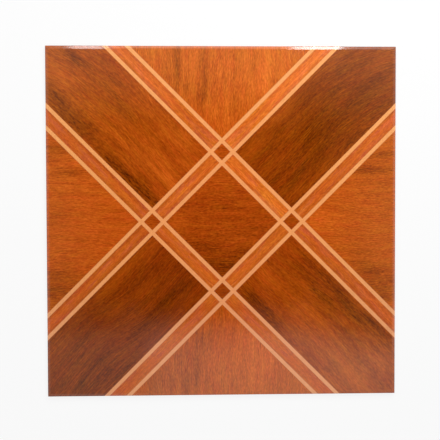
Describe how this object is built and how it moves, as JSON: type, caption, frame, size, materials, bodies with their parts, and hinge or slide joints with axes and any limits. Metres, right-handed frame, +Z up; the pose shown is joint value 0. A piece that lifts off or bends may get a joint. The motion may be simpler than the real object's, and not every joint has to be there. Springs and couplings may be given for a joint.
{
  "type": "porcelain floor tile",
  "caption": "Square glazed porcelain floor tile, cushion edged, with a printed wood parquet face of crossed diagonal bands and a ribbed back for mortar.",
  "frame": {"origin": "middle of the back, in the plane of the rib crests that the tile rests on", "axes": "+Z up out of the glazed face, +Y towards the top of the face as the picture shows it from above, +X to its right"},
  "size_m": [0.6, 0.6, 0.0095],
  "materials": {
    "glazed_porcelain": "gloss"
  },
  "bodies": {
    "root": {"floor_tile": "glazed_porcelain"}
  },
  "joints": []
}
